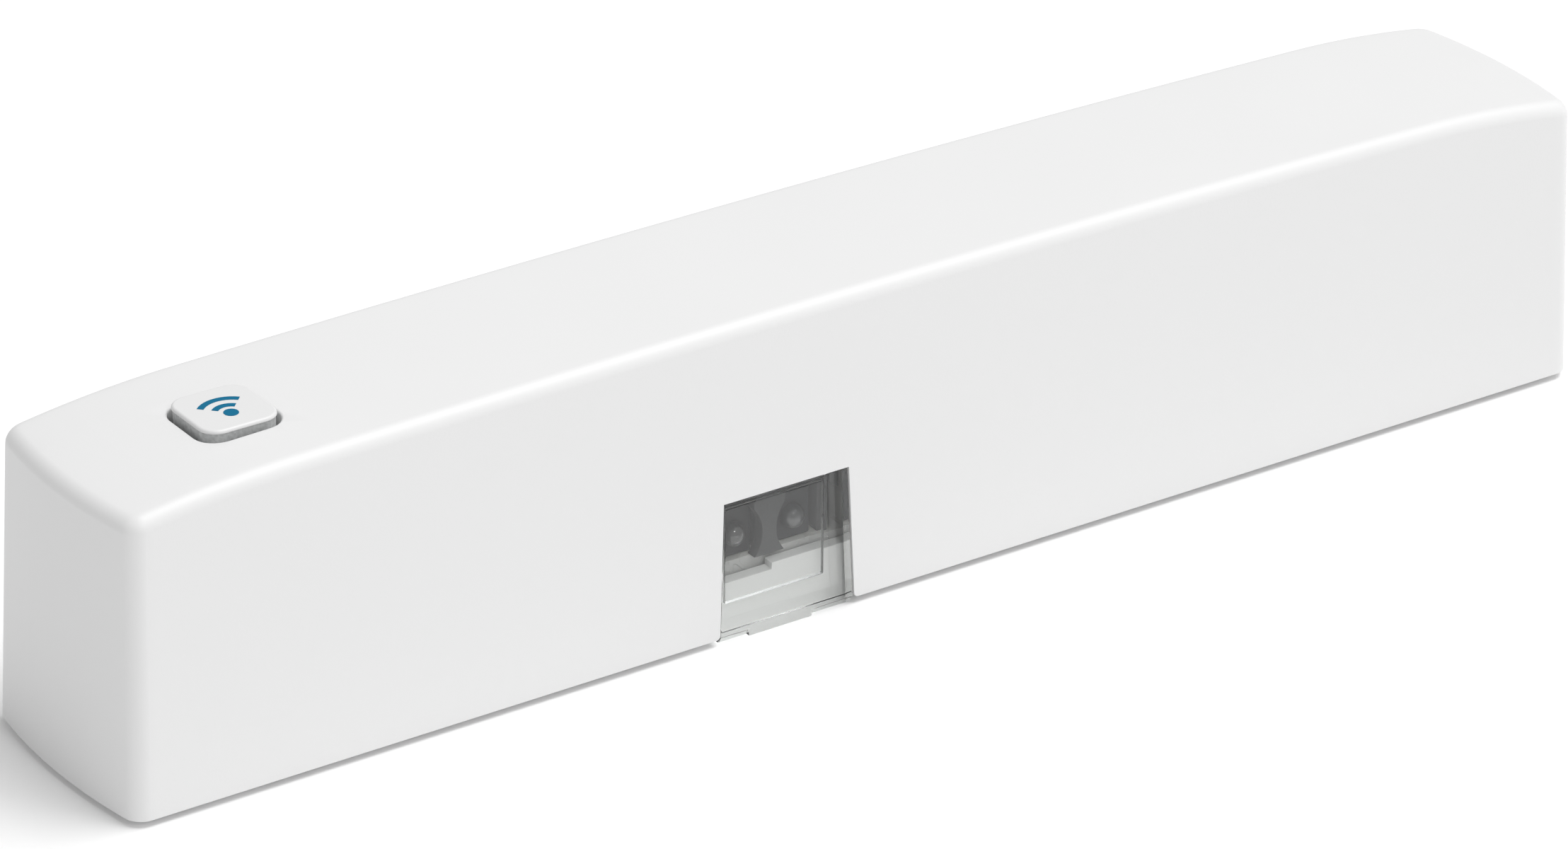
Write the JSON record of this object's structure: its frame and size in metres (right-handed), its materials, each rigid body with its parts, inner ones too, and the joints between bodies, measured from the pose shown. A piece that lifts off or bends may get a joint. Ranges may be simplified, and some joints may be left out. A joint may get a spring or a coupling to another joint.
{
  "type": "optical window contact",
  "caption": "Slim battery-powered optical contact for a window sash: a long drafted cover with a square push button and a clear sensor window, pulled off a screw-on base.",
  "frame": {"origin": "centre of the flat mounting face of the base, in its plane", "axes": "+X along the bar towards the battery, -Y towards the sash that the sensor window faces, +Z away from the mounting surface"},
  "size_m": [0.1, 0.015, 0.0193],
  "materials": {
    "cover_plastic": "fine satin moulded",
    "base_plastic": "satin moulded",
    "label_paper": "matt film",
    "window_plastic": "polished",
    "holder_plastic": "matt moulded",
    "emitter_resin": "polished, translucent",
    "receiver_resin": "polished, translucent",
    "tinned_lead": "tinned",
    "solder_mask": "white lacquered",
    "cap_plastic": "satin moulded",
    "symbol_ink": "printed",
    "guide_plastic": "translucent moulded",
    "switch_plastic": "moulded",
    "switch_steel": "stamped",
    "stem_plastic": "moulded",
    "dome_steel": "sprung disc",
    "tamper_stem_plastic": "moulded",
    "led_resin": "moulded lens",
    "chip_epoxy": "moulded",
    "gold_pad": "gold flash",
    "crystal_ceramic": "fired",
    "capacitor_ceramic": "fired",
    "resistor_glaze": "glazed",
    "can_aluminium": "drawn",
    "capacitor_foot_plastic": "moulded",
    "wire_copper": "bare copper wire",
    "holder_white": "satin moulded",
    "contact_nickel": "nickel plated",
    "cell_steel": "nickel plated",
    "cell_mix": "powder",
    "cell_sleeve_film": "shrunk film",
    "cell_seal_plastic": "moulded",
    "solder": "bright"
  },
  "bodies": {
    "base": {"base": "base_plastic", "type_label": "label_paper", "sensor_window": "window_plastic", "sensor_holder": "holder_plastic", "ir_emitter": "emitter_resin", "ir_receiver": "receiver_resin", "optic_leads": "tinned_lead", "board": "solder_mask", "button_tower": "holder_white", "switch_body": "switch_plastic", "switch_plate": "switch_steel", "switch_dome": "dome_steel", "tamper_body": "switch_plastic", "tamper_plate": "switch_steel", "tamper_dome": "dome_steel", "status_led": "led_resin", "controller_chip": "chip_epoxy", "controller_pins": "tinned_lead", "radio_chip": "chip_epoxy", "radio_pads": "gold_pad", "crystal": "crystal_ceramic", "crystal_lid": "switch_steel", "ceramic_capacitors": "capacitor_ceramic", "capacitor_ends": "tinned_lead", "resistors": "resistor_glaze", "resistor_ends": "tinned_lead", "buffer_capacitor": "can_aluminium", "buffer_capacitor_base": "capacitor_foot_plastic", "antenna": "wire_copper", "antenna_support": "holder_white", "battery_holder": "holder_white", "positive_contact": "contact_nickel", "negative_contact": "contact_nickel", "negative_spring": "contact_nickel", "cell_can": "cell_steel", "cell_core": "cell_mix", "cell_sleeve": "cell_sleeve_film", "cell_seal": "cell_seal_plastic", "cell_bottom": "cell_steel", "solder_joints": "solder"},
    "cover": {"cover": "cover_plastic"},
    "button": {"button_cap": "cap_plastic", "button_symbol": "symbol_ink", "button_light_guide": "guide_plastic", "switch_stem": "stem_plastic"},
    "tamper_stem": {"tamper_stem": "tamper_stem_plastic"}
  },
  "joints": [
    {"name": "cover_lift", "type": "slide", "parent": "base", "child": "cover", "axis": [0, 0, 1], "range_m": [0, 0.022]},
    {"name": "button_press", "type": "slide", "parent": "base", "child": "button", "axis": [0, 0, -1], "range_m": [0, 0.00025], "stiffness_N_per_m": 6000},
    {"name": "tamper_press", "type": "slide", "parent": "base", "child": "tamper_stem", "axis": [0, 0, -1], "range_m": [0, 0.0002], "stiffness_N_per_m": 4000}
  ]
}
